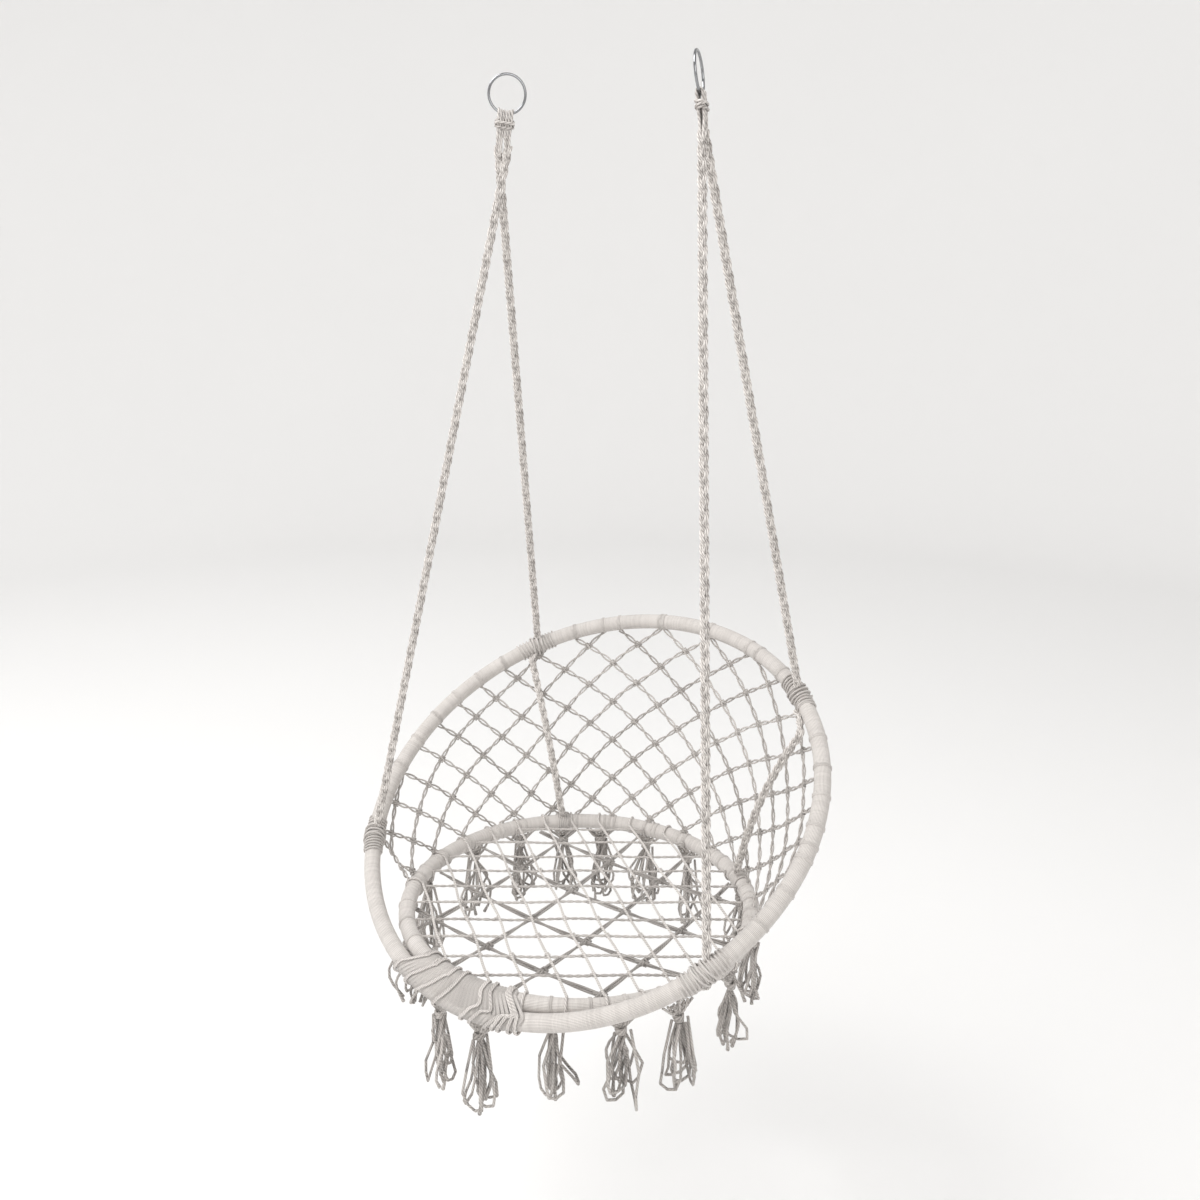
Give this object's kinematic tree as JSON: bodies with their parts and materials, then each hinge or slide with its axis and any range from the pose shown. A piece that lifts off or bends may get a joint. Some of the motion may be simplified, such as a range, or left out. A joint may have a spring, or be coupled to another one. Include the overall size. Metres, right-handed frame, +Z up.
{
  "type": "hanging cord chair",
  "caption": "Hanging chair of two cord-wrapped steel hoops with knotted cord nets and tassels, hung from two steel rings by braided ropes.",
  "frame": {"origin": "midway between the two ring eyes, on the line where hooks carry the rings", "axes": "+Z up, -Y towards the open front of the chair, X along the hanging line"},
  "size_m": [0.806, 0.6829, 1.4971],
  "materials": {
    "ring_steel": "bright plated wire",
    "hoop_steel": "tube hidden under cord",
    "wrap_cotton": "fine cord wound side by side",
    "net_cotton": "knotted twisted cord",
    "rope_cotton": "three strand braid",
    "binding_cotton": "turns of twisted cord",
    "tassel_cotton": "loose twisted cord ends"
  },
  "bodies": {
    "hangers": {"left_suspension_ring": "ring_steel", "right_suspension_ring": "ring_steel", "left_ring_hitch": "binding_cotton", "right_ring_hitch": "binding_cotton"},
    "chair": {"left_rope_neck": "rope_cotton", "right_rope_neck": "rope_cotton", "front_left_rope": "rope_cotton", "front_right_rope": "rope_cotton", "rear_left_rope": "rope_cotton", "rear_right_rope": "rope_cotton", "rear_left_lower_rope": "rope_cotton", "rear_right_lower_rope": "rope_cotton", "back_hoop_tube": "hoop_steel", "back_hoop_wrap": "wrap_cotton", "seat_hoop_tube": "hoop_steel", "seat_hoop_wrap": "wrap_cotton", "front_left_whipping": "binding_cotton", "front_right_whipping": "binding_cotton", "rear_left_whipping": "binding_cotton", "rear_right_whipping": "binding_cotton", "seat_left_binding": "binding_cotton", "seat_right_binding": "binding_cotton", "front_lashing": "binding_cotton", "back_net_hitches": "binding_cotton", "seat_hoop_hitches": "binding_cotton", "back_net": "net_cotton", "seat_net_top": "net_cotton", "seat_net_under": "net_cotton"},
    "hung_tassel_01": {"tassel_01": "tassel_cotton"},
    "hung_tassel_02": {"tassel_02": "tassel_cotton"},
    "hung_tassel_03": {"tassel_03": "tassel_cotton"},
    "hung_tassel_04": {"tassel_04": "tassel_cotton"},
    "hung_tassel_05": {"tassel_05": "tassel_cotton"},
    "hung_tassel_06": {"tassel_06": "tassel_cotton"},
    "hung_tassel_07": {"tassel_07": "tassel_cotton"},
    "hung_tassel_08": {"tassel_08": "tassel_cotton"},
    "hung_tassel_09": {"tassel_09": "tassel_cotton"},
    "hung_tassel_10": {"tassel_10": "tassel_cotton"},
    "hung_tassel_11": {"tassel_11": "tassel_cotton"},
    "hung_tassel_12": {"tassel_12": "tassel_cotton"},
    "hung_tassel_13": {"tassel_13": "tassel_cotton"},
    "hung_tassel_14": {"tassel_14": "tassel_cotton"},
    "hung_tassel_15": {"tassel_15": "tassel_cotton"},
    "hung_tassel_16": {"tassel_16": "tassel_cotton"}
  },
  "joints": [
    {"name": "fore_aft_swing", "type": "hinge", "parent": "hangers", "child": "chair", "pos_m": [0, 0, -0.08813], "axis": [1, 0, 0], "range_deg": [-30, 30]},
    {"name": "tassel_01_swing", "type": "hinge", "parent": "chair", "child": "hung_tassel_01", "pos_m": [0.03546, 0.25783, -1.31], "axis": [0.9925, -0.1219, 0], "range_deg": [-25, 25]},
    {"name": "tassel_02_swing", "type": "hinge", "parent": "chair", "child": "hung_tassel_02", "pos_m": [0.18313, 0.19515, -1.31], "axis": [0.7771, -0.6293, 0], "range_deg": [-25, 25]},
    {"name": "tassel_03_swing", "type": "hinge", "parent": "chair", "child": "hung_tassel_03", "pos_m": [0.26374, 0.09198, -1.31], "axis": [0.4226, -0.9063, 0], "range_deg": [-25, 25]},
    {"name": "tassel_04_swing", "type": "hinge", "parent": "chair", "child": "hung_tassel_04", "pos_m": [0.291, -0.031, -1.31], "axis": [0, -1, 0], "range_deg": [-25, 25]},
    {"name": "tassel_05_swing", "type": "hinge", "parent": "chair", "child": "hung_tassel_05", "pos_m": [0.26787, -0.1447, -1.31], "axis": [-0.3907, -0.9205, 0], "range_deg": [-25, 25]},
    {"name": "tassel_06_swing", "type": "hinge", "parent": "chair", "child": "hung_tassel_06", "pos_m": [0.2166, -0.21929, -1.31], "axis": [-0.6561, -0.7547, 0], "range_deg": [-25, 25]},
    {"name": "tassel_07_swing", "type": "hinge", "parent": "chair", "child": "hung_tassel_07", "pos_m": [0.13478, -0.27414, -1.31], "axis": [-0.8746, -0.4848, 0], "range_deg": [-25, 25]},
    {"name": "tassel_08_swing", "type": "hinge", "parent": "chair", "child": "hung_tassel_08", "pos_m": [0.03583, -0.32281, -1.338], "axis": [-0.9925, -0.1219, 0], "range_deg": [-25, 25]},
    {"name": "tassel_09_swing", "type": "hinge", "parent": "chair", "child": "hung_tassel_09", "pos_m": [-0.04599, -0.32138, -1.338], "axis": [-0.9877, 0.1564, 0], "range_deg": [-25, 25]},
    {"name": "tassel_10_swing", "type": "hinge", "parent": "chair", "child": "hung_tassel_10", "pos_m": [-0.18448, -0.25085, -1.31], "axis": [-0.766, 0.6428, 0], "range_deg": [-25, 25]},
    {"name": "tassel_11_swing", "type": "hinge", "parent": "chair", "child": "hung_tassel_11", "pos_m": [-0.28108, -0.10632, -1.31], "axis": [-0.2588, 0.9659, 0], "range_deg": [-25, 25]},
    {"name": "tassel_12_swing", "type": "hinge", "parent": "chair", "child": "hung_tassel_12", "pos_m": [-0.28565, 0.02453, -1.31], "axis": [0.1908, 0.9816, 0], "range_deg": [-25, 25]},
    {"name": "tassel_13_swing", "type": "hinge", "parent": "chair", "child": "hung_tassel_13", "pos_m": [-0.25201, 0.1145, -1.31], "axis": [0.5, 0.866, 0], "range_deg": [-25, 25]},
    {"name": "tassel_14_swing", "type": "hinge", "parent": "chair", "child": "hung_tassel_14", "pos_m": [-0.19846, 0.18182, -1.31], "axis": [0.7314, 0.682, 0], "range_deg": [-25, 25]},
    {"name": "tassel_15_swing", "type": "hinge", "parent": "chair", "child": "hung_tassel_15", "pos_m": [-0.14108, 0.22351, -1.31], "axis": [0.8746, 0.4848, 0], "range_deg": [-25, 25]},
    {"name": "tassel_16_swing", "type": "hinge", "parent": "chair", "child": "hung_tassel_16", "pos_m": [-0.05552, 0.25465, -1.31], "axis": [0.9816, 0.1908, 0], "range_deg": [-25, 25]}
  ]
}
